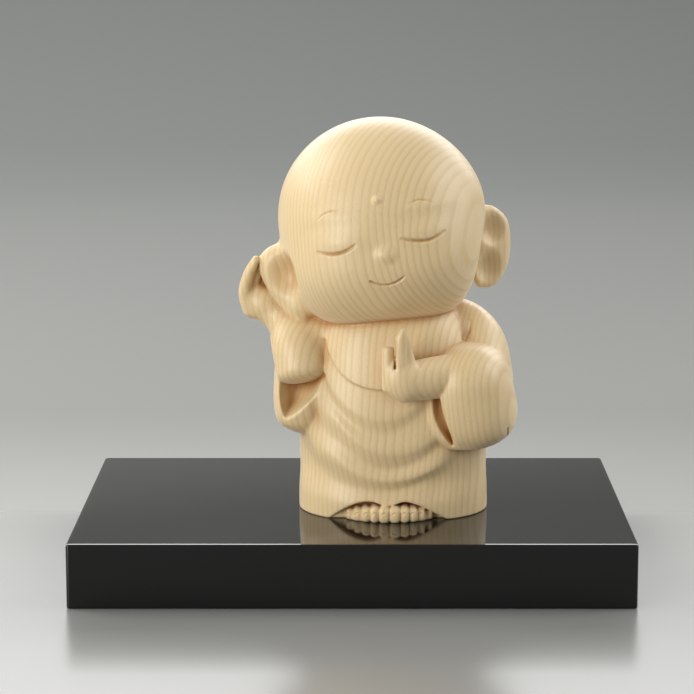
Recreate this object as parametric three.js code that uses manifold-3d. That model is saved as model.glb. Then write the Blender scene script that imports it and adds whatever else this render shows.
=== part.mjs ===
// A carved wooden jizo, a child monk who cups one hand behind an ear, on a black lacquered plinth.
// Millimetres, +Z up. The figure faces -Y. The origin is the middle of the plinth's underside.

import * as THREE from 'three';
import { mergeVertices } from 'three/addons/utils/BufferGeometryUtils.js';
import Module from 'manifold-3d';

const wasm = await Module();
wasm.setup();

// Driving dimensions. Places on the figure are measured from its own axis on the plinth's top,
// x to the viewer's right, y away from the viewer and z up.
const PLINTH = { wide: 212, deep: 152, thick: 24.5, edge: 0.6 };
const STAND = { x: 16, y: -8 };
const WOOD = { color: 0xe9d3ac, roughness: 0.55, metalness: 0 };
const LACQUER = { color: 0x0c0c0e, roughness: 0.08, metalness: 0 };

// The head is a ball that leans to the viewer's left, with full cheeks low on both sides.
const HEAD = { x: -5, y: -3, z: 112.7, radius: 40, lean: 7.5, cheek: 0.14, cheekSpread: 22 };
const CHEEK = { right: 0.6, front: 0.24, up: -0.76 };

// On the face, places are [right, up] from the middle of the head, along its own leaning axes.
const FACE = {
  shift: -1.2,
  eye: [[8.3, -2.4], [12, -4.6], [16, -5.6], [20.3, -5.2], [24.1, -3.8]],
  brow: [[11.6, 8], [14.2, 9.5], [17.6, 9.2], [21.8, 6.4]],
  smile: [[-6.4, -18.1], [-3.2, -19.8], [0, -20.4], [3.2, -19.9], [6.3, -18.3]],
  nose: { up: -8.2, out: -1.2, size: [3.7, 3.4, 3.3] },
  urna: { up: 12.3, out: -0.3, size: [1.7, 1.6, 1.7] },
};

// Levels of the robe: z, half width, depth in front of the axis, depth behind it.
const ROBE_LEVELS = [
  [0, 37, 32, 30],
  [8, 36.9, 32, 30.4],
  [16, 36.5, 32, 31],
  [26, 36.7, 33, 31.4],
  [36, 36, 33.2, 31],
  [46, 34.6, 32.8, 30.2],
  [56, 33, 31.8, 29],
  [66, 31.2, 30, 27.4],
  [74, 28, 27.4, 24.6],
  [82, 22, 22, 19],
  [90, 13, 13, 12],
];
const ROBE = { power: 2.35, crown: 93, columns: 46, bandRows: 2, chestRows: 6 };

// The chest cloth stands proud above a U-shaped edge, given by its lowest z and how far it rises at the sides.
const CHEST = { low: 51.6, rise: 26, reach: 61, proud: 1.4, sill: -0.6 };

// Drape lines run round the skirt from the hem up, each a crest or a hollow of the cloth. A line is lowest at one
// bearing (degrees from the front, to the viewer's right) and rises with the square of the bearing from there, by
// `left` and `right` mm for each square degree, but stays under `cap` of the chest edge's height.
const DRAPES = [
  { low: 0, at: 0, left: 0, right: 0, cap: 0, height: 0, from: -90, to: 90 },
  { low: 5.5, at: -8, left: 0.0012, right: 0.0018, cap: 0.12, height: 0.5, from: -88, to: 80 },
  { low: 11.8, at: -8, left: 0.0034, right: 0.0046, cap: 0.3, height: -1.7, from: -80, to: 54 },
  { low: 16.2, at: -5, left: 0.0068, right: 0.005, cap: 0.42, height: 0.9, from: -78, to: 50 },
  { low: 20.9, at: -4, left: 0.0092, right: 0.0072, cap: 0.54, height: -1.5, from: -72, to: 52 },
  { low: 27.2, at: -2, left: 0.0093, right: 0.0078, cap: 0.67, height: 1.1, from: -72, to: 50 },
  { low: 34.6, at: -9, left: 0.0106, right: 0.0095, cap: 0.8, height: -1.0, from: -66, to: 40 },
  { low: 40.4, at: -9, left: 0.0095, right: 0.01, cap: 0.91, height: 0.9, from: -62, to: 36 },
];

// The hem lifts in a double arch over the feet: [x, z] of its edge from left to right.
const HEM_ARCH = [[-26, -1], [-20, 4], [-14.2, 7.3], [-8.6, 8.2], [-2.4, 6.4], [4, 8], [9, 6.8], [14.4, 3.8], [22, -1]];
const HEM_RECESS = { front: -44, back: -25.5 };

// Two feet under the hem, each with five toes, the big toes side by side.
const FOOT = { middles: [-10.3, 6.5], y: -25.6, z: 1.2, size: [7.6, 6, 3.2] };
const TOES = { widths: [1.95, 1.62, 1.58, 1.55, 1.5], front: -35.2, back: 0.32, tall: 5, drop: 0.22, long: 5.4 };

// A rounded limb is a row of stations: x, y, z, half width, half depth.
const RIGHT_ARM = [
  [8, 4, 72, 9, 10],
  [24, 4, 70, 11, 12],
  [33, 3, 61, 12, 15],
  [35.5, -2, 47, 12, 16],
];
const RIGHT_FOREARM = [
  [22, -30, 56.5, 7.6, 6.6],
  [12, -35.4, 56, 7.1, 6],
  [4.5, -38.8, 55.6, 6.6, 5.2],
];
const LEFT_ARM = [
  [-8, 4, 73, 9, 10],
  [-23, 5, 70, 11, 11],
  [-32, 4, 58, 11, 11.5],
  [-36, 0, 47, 9.5, 10],
];
const LEFT_FOREARM = [
  [-35.3, -15.5, 58.6, 10.2, 9.4],
  [-37, -13, 65, 10.4, 9],
  [-40.4, -6, 73, 9.6, 7.6],
  [-48, -2, 79.6, 7.4, 6],
];

// Sleeves are columns of levels: z, left, right, front, back. The first and the last level are points.
const RIGHT_SLEEVE = [
  [26.6, 31, 31, -16, -16],
  [27.4, 18, 37, -29.5, -6],
  [30, 13.5, 43.6, -34, 2],
  [34, 10.5, 47.6, -37, 8],
  [40, 8.6, 48.9, -38.8, 11],
  [48, 8.6, 47.4, -40, 11],
  [56, 11.5, 45.2, -40.6, 9],
  [62, 12.5, 43.9, -38, 6],
  [66.6, 16.5, 42, -33, 4],
  [70.2, 21.5, 38.6, -25.5, 0],
  [72.6, 30, 30, -12, -12],
];
const LEFT_SLEEVE = [
  [30.6, -34.5, -34.5, -8, -8],
  [31.4, -39, -30, -14.5, 0],
  [34.4, -43.6, -27.6, -18.6, 5],
  [40, -46.2, -25.4, -21, 8],
  [48, -46.9, -23.6, -22.4, 10],
  [56, -46.6, -22.6, -21.6, 10],
  [62, -45, -23.4, -18.4, 8],
  [66, -34, -34, -4, -4],
];
const LEFT_MOUTH = [
  [36.4, -40.4, -40.4, -22, -22],
  [37.6, -43, -37.4, -34, -15],
  [42, -44.6, -31.6, -36, -10],
  [48, -45, -27, -36, -8],
  [56, -44.8, -24.6, -36, -8],
  [62, -43, -25.4, -34, -8],
  [65, -35, -35, -20, -20],
];

// The right sleeve's mouth faces the viewer's left below the wrist: [x, z] of its front edge from the top down.
// Left of that edge only the back layer stands, and a narrow hollow runs in behind the edge.
const MOUTH_EDGE = [[17.2, 49.4], [17.7, 47.4], [19.9, 39], [22, 33.2], [23.8, 28.2], [24.4, 25]];
const MOUTH = { left: 2, low: 20, front: -50, back: -33.2 };
const MOUTH_HOLLOW = [
  [17.8, -33.4, 48, 0.7, 2.6],
  [19.4, -33.4, 42, 1.3, 3.2],
  [21.6, -32.4, 35, 1.2, 3.2],
  [23.6, -31, 29.4, 0.6, 2.2],
];

// The cupped hand: a heel below and four fingers that rise side by side and bend forward, the outermost first.
const CUP_HEEL = { at: [-51.4, -3.4, 79.4], size: [7.8, 6.4, 6], turn: [0, 12, 0] };
const CUP_FINGERS = [
  [[-55.4, -2, 77.5, 3, 3], [-57.8, -2.6, 85, 2.5, 3], [-55.6, -4.4, 92, 2.1, 2.7], [-52.6, -6.4, 96.4, 1.5, 2]],
  [[-52.4, 1, 78, 3, 3], [-54, 0.4, 86, 2.6, 2.8], [-51.6, -1.6, 93.4, 2.1, 2.5], [-49.6, -3.6, 97, 1.5, 2]],
  [[-49.4, 3, 79, 3, 3], [-50.4, 2.8, 87, 2.5, 2.7], [-48.4, 1, 93.6, 2.1, 2.4], [-47, -1, 96.6, 1.5, 2]],
  [[-46.2, 4.4, 80, 2.8, 3], [-47, 4.6, 87, 2.4, 2.6], [-45.6, 3.4, 92.6, 2, 2.4], [-44.6, 2, 95, 1.5, 2]],
];

// The hand before the chest is seen on its edge: a palm, a thumb apart and fingers that close to one point.
const PALM = { at: [2.4, -39.4, 56.6], size: [5.2, 5.6, 8.6], turn: [0, -14, 0] };
const CHEST_FINGERS = [
  [[2.2, -41.4, 58, 2.7, 2.6], [2.3, -42.6, 66, 2.2, 2.3], [2.4, -43, 72, 1.9, 2.1], [3.4, -43, 75.6, 1.2, 1.5]],
  [[5.4, -39.6, 58, 3, 2.8], [4.9, -40, 66, 2.3, 2.4], [4.2, -40.6, 71.6, 1.7, 2], [4, -41.2, 74.8, 1, 1.4]],
];
const THUMB = [
  [-0.2, -38.6, 54, 3.8, 3.8],
  [-2.8, -38.2, 59.4, 2.5, 3],
  [-3.3, -37.4, 63.6, 2.1, 2.5],
  [-3.2, -36.8, 65.6, 1.6, 1.9],
];

// Each ear is a thick leaf with a dish cut in its face: place, half sizes and turns about x, y and z in degrees.
const RIGHT_EAR = { at: [37, 2.6, 102.2], size: [10.6, 4.6, 16.4], turn: [0, 2, 42] };
const RIGHT_DISH = { at: [41.4, -3.2, 102.6], size: [6.8, 5.4, 12.2], turn: [0, 2, 42] };
const LEFT_EAR = { at: [-41.6, -9, 90], size: [9.4, 5.2, 16.6], turn: [0, -28, -10] };
const LEFT_DISH = { at: [-41.4, -16.4, 92.6], size: [5.6, 7.4, 7.8], turn: [0, -22, -10] };

const radians = THREE.MathUtils.degToRad;

// A closed surface over rings of points. `point(u, v)` goes from one pole at u = 0 to the other at u = 1,
// and once around as v goes from 0 to 1, anticlockwise as seen from the far pole.
function closedSurface(rings, around, point) {
  const positions = [...point(0, 0)];
  for (let i = 1; i < rings; i += 1) {
    for (let j = 0; j < around; j += 1) {
      positions.push(...point(i / rings, j / around));
    }
  }
  positions.push(...point(1, 0));
  const lastPole = positions.length / 3 - 1;
  const at = (i, j) => 1 + (i - 1) * around + (j % around);
  const index = [];
  for (let j = 0; j < around; j += 1) {
    index.push(0, at(1, j + 1), at(1, j));
    index.push(lastPole, at(rings - 1, j), at(rings - 1, j + 1));
  }
  for (let i = 1; i < rings - 1; i += 1) {
    for (let j = 0; j < around; j += 1) {
      index.push(at(i, j), at(i, j + 1), at(i + 1, j + 1));
      index.push(at(i, j), at(i + 1, j + 1), at(i + 1, j));
    }
  }
  const geometry = new THREE.BufferGeometry();
  geometry.setAttribute('position', new THREE.Float32BufferAttribute(positions, 3));
  geometry.setIndex(index);
  return geometry;
}

// A smooth curve through rows of numbers, from the first row at t = 0 to the last at t = 1.
function along(rows, t) {
  const place = t * (rows.length - 1);
  const i = Math.min(Math.floor(place), rows.length - 2);
  const f = place - i;
  const before = rows[Math.max(i - 1, 0)];
  const after = rows[Math.min(i + 2, rows.length - 1)];
  return rows[i].map((start, k) => {
    const end = rows[i + 1][k];
    const leave = (end - before[k]) / 2;
    const arrive = (after[k] - start) / 2;
    const bend = 3 * (end - start) - 2 * leave - arrive;
    const twist = 2 * (start - end) + leave + arrive;
    return start + f * (leave + f * (bend + f * twist));
  });
}

// The point of a superellipse at angle v turns, with its two half sizes. A power of 2 gives an ellipse.
function section(v, wide, deep, power) {
  const c = Math.cos(2 * Math.PI * v);
  const s = Math.sin(2 * Math.PI * v);
  return [wide * Math.sign(c) * Math.abs(c) ** (2 / power), deep * Math.sign(s) * Math.abs(s) ** (2 / power)];
}

// A rounded limb through its stations, with half-round ends. Half widths lie along `side`.
function limb(stations, { side = [1, 0, 0], rings = 10, around = 12, capRings = 2 } = {}) {
  const spineAt = (t) => new THREE.Vector3(...along(stations, t).slice(0, 3));
  return closedSurface(rings, around, (u, v) => {
    const ring = u * rings;
    const body = rings - 2 * capRings;
    const t = THREE.MathUtils.clamp((ring - capRings) / body, 0, 1);
    const past = Math.max(capRings - ring, ring - (rings - capRings), 0) / capRings;
    const tangent = spineAt(Math.min(t + 0.02, 1)).sub(spineAt(Math.max(t - 0.02, 0))).normalize();
    const across = new THREE.Vector3(...side).projectOnPlane(tangent).normalize();
    const other = new THREE.Vector3().crossVectors(tangent, across);
    const [x, y, z, wide, deep] = along(stations, t);
    const shrink = Math.cos(past * Math.PI / 2);
    const push = Math.sin(past * Math.PI / 2) * Math.min(wide, deep) * (ring < capRings ? -1 : 1);
    const [a, b] = section(v, wide * shrink, deep * shrink, 2);
    return new THREE.Vector3(x, y, z)
      .addScaledVector(tangent, push)
      .addScaledVector(across, a)
      .addScaledVector(other, b)
      .toArray();
  });
}

// A ball with three half sizes, turned by degrees about x, y and z.
function blob({ at, size, turn = [0, 0, 0] }, rings = 8, around = 14) {
  const pose = new THREE.Euler(...turn.map(radians));
  return closedSurface(rings, around, (u, v) => {
    const rise = Math.PI * (u - 0.5);
    const [a, b] = section(v, size[0] * Math.cos(rise), size[1] * Math.cos(rise), 2);
    const place = new THREE.Vector3(a, b, size[2] * Math.sin(rise)).applyEuler(pose);
    return place.add(new THREE.Vector3(...at)).toArray();
  });
}

// A soft upright bag through its levels. It bulges a little squarer than an ellipse.
function bag(levels, { rings = 14, around = 22, power = 2.3 } = {}) {
  return closedSurface(rings, around, (u, v) => {
    const [z, left, right, front, back] = along(levels, u);
    const [a, b] = section(v, (right - left) / 2, (back - front) / 2, power);
    return [(left + right) / 2 + a, (front + back) / 2 + b, z];
  });
}

// A closed mesh as a solid that can be joined and cut.
function solid(geometry) {
  const bare = geometry.clone();
  bare.deleteAttribute('normal');
  bare.deleteAttribute('uv');
  const merged = mergeVertices(bare, 1e-4);
  return new wasm.Manifold(new wasm.Mesh({
    numProp: 3,
    vertProperties: new Float32Array(merged.attributes.position.array),
    triVerts: new Uint32Array(merged.index.array),
  }));
}

// A solid back as a mesh that three.js draws.
function geometryOf(body) {
  const { vertProperties, triVerts } = body.getMesh();
  const geometry = new THREE.BufferGeometry();
  geometry.setAttribute('position', new THREE.Float32BufferAttribute(vertProperties, 3));
  geometry.setIndex(Array.from(triVerts));
  return geometry;
}

const joined = (geometries) => geometries.map(solid).reduce((whole, piece) => whole.add(piece));
const smooth = (value, from, to) => THREE.MathUtils.smoothstep(value, Math.min(from, to), Math.max(from, to));

// How far the head reaches in one direction of its own axes: a ball with a swelling at each cheek.
function headReach(right, front, up) {
  const toward = new THREE.Vector3(right, front, up).normalize();
  const spread = radians(HEAD.cheekSpread);
  const swell = [1, -1].map((side) => {
    const cheek = new THREE.Vector3(side * CHEEK.right, CHEEK.front, CHEEK.up).normalize();
    return Math.exp(-((toward.angleTo(cheek) / spread) ** 2) / 2);
  });
  return HEAD.radius * (1 + HEAD.cheek * (swell[0] + swell[1]));
}

// From the head's own axes to the figure's: the head leans about the y axis.
function fromHead(right, front, up) {
  const lean = radians(HEAD.lean);
  const x = HEAD.x + right * Math.cos(lean) - up * Math.sin(lean);
  const z = HEAD.z + right * Math.sin(lean) + up * Math.cos(lean);
  return [x, HEAD.y - front, z];
}

// The front of the face at a place given by its right and up.
function onFace(right, up, out = 0) {
  let front = HEAD.radius;
  for (let pass = 0; pass < 6; pass += 1) {
    const reach = headReach(right, front, up);
    front = Math.sqrt(reach ** 2 - right ** 2 - up ** 2);
  }
  const grow = 1 + out / Math.hypot(right, front, up);
  return fromHead(right * grow, front * grow, up * grow);
}

function head() {
  return closedSurface(19, 32, (u, v) => {
    const rise = Math.PI * (u - 0.5);
    const right = Math.cos(rise) * Math.cos(2 * Math.PI * v);
    const front = -Math.cos(rise) * Math.sin(2 * Math.PI * v);
    const up = Math.sin(rise);
    const reach = headReach(right, front, up);
    return fromHead(right * reach, front * reach, up * reach);
  });
}

// A groove cut along places on the face, deepest at its middle.
function groove(places, wide, mirror = 1, shift = 0) {
  const row = places.map(([right, up], i) => {
    const taper = 0.45 + 0.55 * Math.sin(Math.PI * i / (places.length - 1));
    return [...onFace(mirror * right + shift, up, 0.1), wide * taper, wide * taper];
  });
  return limb(row, { side: [0, 0, 1], rings: 8, around: 6, capRings: 1 });
}

function faceGrooves() {
  const sides = [1, -1].flatMap((side) => [
    groove(FACE.eye, 0.85, side, FACE.shift),
    groove(FACE.brow, 0.5, side, FACE.shift),
  ]);
  return [...sides, groove(FACE.smile, 0.65)];
}

function faceBump({ up, out, size }, rings, around) {
  return blob({ at: onFace(0, up, out), size, turn: [0, -HEAD.lean, 0] }, rings, around);
}

// The lower edge of the chest cloth at a bearing from the front.
function chestEdge(bearing) {
  return CHEST.low + CHEST.rise * (Math.min(Math.abs(bearing), CHEST.reach) / CHEST.reach) ** 3;
}

// The height of one drape line at a bearing, and how far the cloth stands out from the plain robe there.
function drapeLine({ low, at, left, right, cap }, bearing) {
  const off = bearing - at;
  return Math.min(low + (off < 0 ? left : right) * off * off, cap * chestEdge(bearing));
}

function drapeHeight({ height, from, to }, bearing) {
  return height * smooth(bearing, from, from + 18) * (1 - smooth(bearing, to - 18, to));
}

// The plain robe's reach from its axis at a bearing in degrees and a level.
function robeReach(bearing, z) {
  const next = ROBE_LEVELS.findIndex((level) => level[0] >= z - 1e-6);
  const i = next < 1 ? 1 : next;
  const part = (z - ROBE_LEVELS[i - 1][0]) / (ROBE_LEVELS[i][0] - ROBE_LEVELS[i - 1][0]);
  const [, wide, front, back] = along(ROBE_LEVELS, (i - 1 + part) / (ROBE_LEVELS.length - 1));
  const s = Math.abs(Math.sin(radians(bearing))) / wide;
  const c = Math.cos(radians(bearing));
  return (s ** ROBE.power + Math.abs(c / (c > 0 ? front : back)) ** ROBE.power) ** (-1 / ROBE.power);
}

// Rows follow the drape lines up to the chest edge, with a double row there for the step, and then the chest.
function robe() {
  const top = ROBE_LEVELS[ROBE_LEVELS.length - 1][0];
  const skirtRows = DRAPES.length * ROBE.bandRows;
  const rows = 1 + skirtRows + 1 + ROBE.chestRows + 1;
  return closedSurface(rows, ROBE.columns, (u, v) => {
    const row = Math.round(u * rows) - 1;
    if (row < 0) return [0, 0, 0];
    if (row === rows - 1) return [0, 0, ROBE.crown];
    const bearing = 360 * v - 180 + 24 * Math.sin(2 * Math.PI * v);
    const edge = chestEdge(bearing);
    let z = 0;
    let proud = 0;
    if (row <= skirtRows) {
      const band = Math.min(Math.floor(row / ROBE.bandRows), DRAPES.length - 1);
      const part = row / ROBE.bandRows - band;
      const lower = DRAPES[band];
      const upper = DRAPES[band + 1];
      const highZ = upper ? drapeLine(upper, bearing) : edge - 0.4;
      const highProud = upper ? drapeHeight(upper, bearing) : CHEST.sill * (1 - smooth(Math.abs(bearing), 50, 66));
      z = THREE.MathUtils.lerp(drapeLine(lower, bearing), highZ, part);
      proud = THREE.MathUtils.lerp(drapeHeight(lower, bearing), highProud, smooth(part, 0, 1));
    } else {
      z = edge + (top - edge) * (row - skirtRows - 1) / ROBE.chestRows;
      proud = CHEST.proud * (1 - smooth(Math.abs(bearing), 52, 68)) * (1 - smooth(z, 78, 88));
    }
    const reach = robeReach(bearing, z) + proud;
    return [reach * Math.sin(radians(bearing)), -reach * Math.cos(radians(bearing)), z];
  });
}

// The opening over the toes: the hem's arch, as deep as the recess behind it.
function hemRecess() {
  const arch = new THREE.Shape();
  arch.moveTo(HEM_ARCH[0][0], -3);
  arch.lineTo(...HEM_ARCH[0]);
  arch.splineThru(HEM_ARCH.slice(1).map(([x, z]) => new THREE.Vector2(x, z)));
  arch.lineTo(HEM_ARCH[HEM_ARCH.length - 1][0], -3);
  const depth = HEM_RECESS.back - HEM_RECESS.front;
  const geometry = new THREE.ExtrudeGeometry(arch, { depth, bevelEnabled: false, curveSegments: 16 });
  return geometry.rotateX(Math.PI / 2).translate(0, HEM_RECESS.back, 0);
}

// What is cut away left of the right sleeve's front edge, in front of its back layer.
function sleeveMouth() {
  const outline = new THREE.Shape();
  outline.moveTo(MOUTH.left, MOUTH_EDGE[0][1]);
  outline.lineTo(...MOUTH_EDGE[0]);
  outline.splineThru(MOUTH_EDGE.slice(1).map(([x, z]) => new THREE.Vector2(x, z)));
  outline.lineTo(MOUTH_EDGE[MOUTH_EDGE.length - 1][0], MOUTH.low);
  outline.lineTo(MOUTH.left, MOUTH.low);
  const depth = MOUTH.back - MOUTH.front;
  const geometry = new THREE.ExtrudeGeometry(outline, { depth, bevelEnabled: false, curveSegments: 8 });
  return geometry.rotateX(Math.PI / 2).translate(0, MOUTH.back, 0);
}

function feet() {
  return FOOT.middles.flatMap((middle, foot) => {
    const outward = foot === 0 ? -1 : 1;
    const half = TOES.widths.reduce((sum, width) => sum + width, 0);
    let inner = middle - outward * half;
    const toes = TOES.widths.map((width, i) => {
      const x = inner + outward * width;
      inner += outward * 2 * width;
      const tall = (TOES.tall - TOES.drop * i) / 2;
      const front = TOES.front + TOES.back * i + 0.12 * i * i;
      return blob({ at: [x, front + TOES.long, tall], size: [width * 1.16, TOES.long, tall * 1.05] }, 4, 8);
    });
    const sole = blob({ at: [middle, FOOT.y, FOOT.z], size: FOOT.size }, 6, 12);
    return [sole, ...toes];
  });
}

// A half space under the figure's base, so that everything that reaches lower is cut flat.
function belowBase() {
  return new THREE.BoxGeometry(200, 200, 40).translate(0, 0, -20);
}

function figure() {
  const skull = joined([
    head(),
    blob(RIGHT_EAR, 10, 14),
    blob(LEFT_EAR, 10, 14),
    faceBump(FACE.nose, 7, 12),
    faceBump(FACE.urna, 5, 8),
  ]).subtract(joined([blob(RIGHT_DISH, 8, 10), blob(LEFT_DISH, 8, 10)]))
    .subtract(joined(faceGrooves()));

  const rightSleeve = solid(bag(RIGHT_SLEEVE, { rings: 15, around: 20 }))
    .subtract(solid(sleeveMouth()))
    .subtract(solid(limb(MOUTH_HOLLOW, { rings: 8, around: 6 })));
  const leftSleeve = solid(bag(LEFT_SLEEVE, { rings: 12, around: 18 }))
    .subtract(solid(bag(LEFT_MOUTH, { rings: 9, around: 14 })));
  const dress = solid(robe())
    .subtract(solid(hemRecess()))
    .add(joined([limb(RIGHT_ARM), limb(LEFT_ARM)]))
    .subtract(solid(bag(LEFT_MOUTH, { rings: 9, around: 14 })))
    .add(rightSleeve)
    .add(leftSleeve);

  const limbs = joined([
    limb(LEFT_FOREARM, { rings: 12, around: 15, capRings: 3 }),
    limb(RIGHT_FOREARM, { side: [0, 0, 1], rings: 8, around: 12 }),
    blob(CUP_HEEL, 8, 12),
    ...CUP_FINGERS.map((finger) => limb(finger, { rings: 8, around: 7 })),
    blob(PALM, 9, 12),
    ...CHEST_FINGERS.map((finger) => limb(finger, { rings: 8, around: 7 })),
    limb(THUMB, { rings: 8, around: 8 }),
    ...feet(),
  ]);

  return skull.add(dress).add(limbs).subtract(solid(belowBase()));
}

// The plinth is a board with its edges just broken.
function plinth() {
  const { wide, deep, thick, edge } = PLINTH;
  const inset = new THREE.Shape([[-1, -1], [1, -1], [1, 1], [-1, 1]].map(([x, y]) => (
    new THREE.Vector2(x * (wide / 2 - edge), y * (deep / 2 - edge))
  )));
  const options = { depth: thick - 2 * edge, bevelThickness: edge, bevelSize: edge, bevelSegments: 1 };
  return new THREE.ExtrudeGeometry(inset, options).translate(0, 0, edge);
}

const model = new THREE.Group();
const jizo = new THREE.Mesh(geometryOf(figure()), new THREE.MeshStandardMaterial(WOOD));
jizo.name = 'jizo_figure';
jizo.position.set(STAND.x, STAND.y, PLINTH.thick);
const board = new THREE.Mesh(plinth(), new THREE.MeshStandardMaterial(LACQUER));
board.name = 'lacquer_plinth';
model.add(jizo, board);

export default model;
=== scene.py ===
import copy
import functools
import math

import bmesh
import bpy
import numpy as np
import openvdb as vdb
from bpy.props import FloatProperty, FloatVectorProperty, PointerProperty
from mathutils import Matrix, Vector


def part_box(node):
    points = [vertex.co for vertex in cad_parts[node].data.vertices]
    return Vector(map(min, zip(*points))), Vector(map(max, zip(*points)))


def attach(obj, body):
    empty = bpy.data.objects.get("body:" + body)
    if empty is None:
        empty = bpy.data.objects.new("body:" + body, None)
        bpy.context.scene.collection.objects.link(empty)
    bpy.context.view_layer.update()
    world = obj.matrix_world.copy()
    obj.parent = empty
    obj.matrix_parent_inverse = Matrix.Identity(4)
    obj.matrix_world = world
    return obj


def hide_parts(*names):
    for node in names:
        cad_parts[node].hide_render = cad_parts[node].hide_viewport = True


# A carved softwood jizo, a child monk who cups one hand behind an ear, on a black lacquered board. Blender
# works in metres. The tables below are in millimetres, measured from the figure's own axis on the board's
# top: x to the viewer's right, y away from the viewer and z up.
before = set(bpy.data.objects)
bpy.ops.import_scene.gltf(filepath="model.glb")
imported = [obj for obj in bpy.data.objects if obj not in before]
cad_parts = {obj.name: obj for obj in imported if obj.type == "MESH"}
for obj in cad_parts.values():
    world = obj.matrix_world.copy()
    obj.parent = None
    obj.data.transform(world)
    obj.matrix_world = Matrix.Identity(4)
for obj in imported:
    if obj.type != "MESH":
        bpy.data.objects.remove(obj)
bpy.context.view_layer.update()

bl_info = {
    "name": "Carved jizo on a lacquered board",
    "version": (1, 0, 0),
    "blender": (4, 5, 0),
    "location": "3D View > Sidebar > Jizo",
    "description": "Carves the wooden figure, lacquers its board and sets a small studio",
    "category": "Add Mesh",
}

MM = 0.001
BOARD_LOW, BOARD_HIGH = (np.array(corner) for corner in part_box("lacquer_plinth"))
BOARD_CORNER = 0.0012
STAND = np.array([16.0, -8.0, BOARD_HIGH[2] / MM])

# The figure's measures

HEAD_MIDDLE = (-5, -3, 112.7)
# Where the head departs from a ball: right, front and up, share of the radius, spread in degrees. The jaw's
# corners, the two full cheeks and the throat come first, then the flat left temple, the hollow before the
# right ear, the right temple and the left crown.
HEAD_SWELLS = [
    ((0.6, 0.24, -0.76), 0.10, 22), ((-0.6, 0.24, -0.76), 0.11, 22), ((0.45, 0.72, -0.52), 0.1, 21),
    ((-0.45, 0.72, -0.52), 0.1, 21), ((-0.12, 0.15, -1), -0.08, 20), ((-1, 0.1, -0.12), -0.024, 17),
    ((0.88, 0.05, -0.47), -0.085, 13), ((0.97, 0, 0.22), 0.022, 18), ((-0.75, 0, 0.66), 0.01, 26),
]

# Soft swellings and hollows of the face: right, up, half widths, height. Mirrored ones stand on both sides.
FACE_FORMS = [
    (0.4, -4, 5, 5, -0.5),
    (-0.2, -17, 9.5, 5.2, 0.8),
    (-0.6, -28.5, 6.5, 4, 0.9),
]
FACE_PAIRS = [
    (16.2, -1.6, 6.6, 2.6, 0.8),
    (16.2, 7.6, 7, 1.6, 0.45),
    (16.5, -14.5, 8.5, 6.5, 0.8),
    (29, -0.5, 5, 7, -0.7),
]
FACE_SHIFT = -1.2
EYE_LINES = [
    [(-25.2, -4.6), (-22.6, -5.3), (-18.7, -5.7), (-14.9, -5.2), (-11.7, -3.9), (-9.7, -2.7)],
    [(6.4, -2.6), (9.3, -3.6), (13.5, -4.6), (17.2, -4.9), (20.6, -4), (23.9, -2.7)],
]
BROW_LINES = [
    [(-23.1, 7), (-20.7, 9.1), (-17.4, 10), (-14.1, 9.5)],
    [(11, 9), (13.7, 10), (16.8, 9.8), (20.5, 8.2)],
]
SMILE_LINE = [(-6.8, -16.7), (-4.3, -18.2), (-0.7, -19.2), (3, -18.6), (6.4, -16.6)]
NOSE = {"at": (0.6, -8.3), "out": -1.1, "size": (3.3, 2.6, 2.6), "soft": 2.8}
URNA = {"at": (-0.2, 12.4), "out": -0.3, "size": (1.7, 1.6, 1.7), "soft": 0.7}

# z, half width, depth in front of the axis, depth behind it
ROBE_LEVELS = np.array([
    (0, 37, 32, 30), (8, 36.9, 32, 30.4), (16, 36.5, 32, 31), (26, 36.7, 33, 31.4), (36, 36, 33.2, 31),
    (46, 34.6, 32.8, 30.2), (56, 33, 31.8, 29), (66, 31.2, 30, 27.4), (74, 28, 27.4, 24.6), (82, 22, 22, 19),
    (90, 13, 13, 12),
])
ROBE_POWER, ROBE_CROWN = 2.35, 93
CHEST = {"low": 51.6, "rise": 26, "reach": 61, "proud": 1.1, "sill": -0.4}

# Drape lines from the hem up: lowest z, its bearing in degrees from the front, rise for each square degree
# to the left and to the right, cap as a share of the chest edge's height, height of the fold, and the
# bearings it ends at.
DRAPES = [
    (0, 0, 0, 0, 0, 0, -90, 90),
    (5.5, -8, 0.0012, 0.0018, 0.12, 0.3, -88, 60),
    (11.8, -8, 0.0034, 0.0046, 0.3, -0.8, -80, 44),
    (16.2, -5, 0.0068, 0.005, 0.42, 0.6, -78, 42),
    (20.9, -4, 0.0092, 0.0072, 0.54, -0.7, -72, 46),
    (27.2, -2, 0.0093, 0.0078, 0.67, 0.5, -72, 46),
    (34.6, -9, 0.0106, 0.0095, 0.8, -0.55, -66, 36),
    (40.4, -9, 0.0095, 0.01, 0.91, 0.5, -62, 34),
]
# Soft dents and swellings of the skirt beside the long sleeve: bearing, z, half widths in degrees and mm,
# depth.
SKIRT_DENTS = [(43, 20, 5, 9, 0.5), (32, 13, 5, 3.4, 0.5), (50, 22, 6, 9, -0.3), (22, 21, 8, 4, -0.3)]

HEM_ARCH = [(-26, -1), (-20, 3.7), (-14.2, 6.8), (-8.6, 7.6), (-2.4, 6), (4, 7.6), (9, 6.4), (14.4, 3.6),
            (22, -1)]
HEM_BACK = -25.5
FOOT = {"middles": (-10, 6.7), "y": -25.6, "z": 1.2, "size": (7.8, 6, 3.4)}
TOES = {"widths": (2, 1.68, 1.62, 1.55, 1.5), "front": -35.4, "back": 0.32, "tall": 6.2, "drop": 0.34,
        "long": 5.4}
NAIL = {"wide": 0.62, "top": 0.66, "sag": 0.2}

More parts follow.
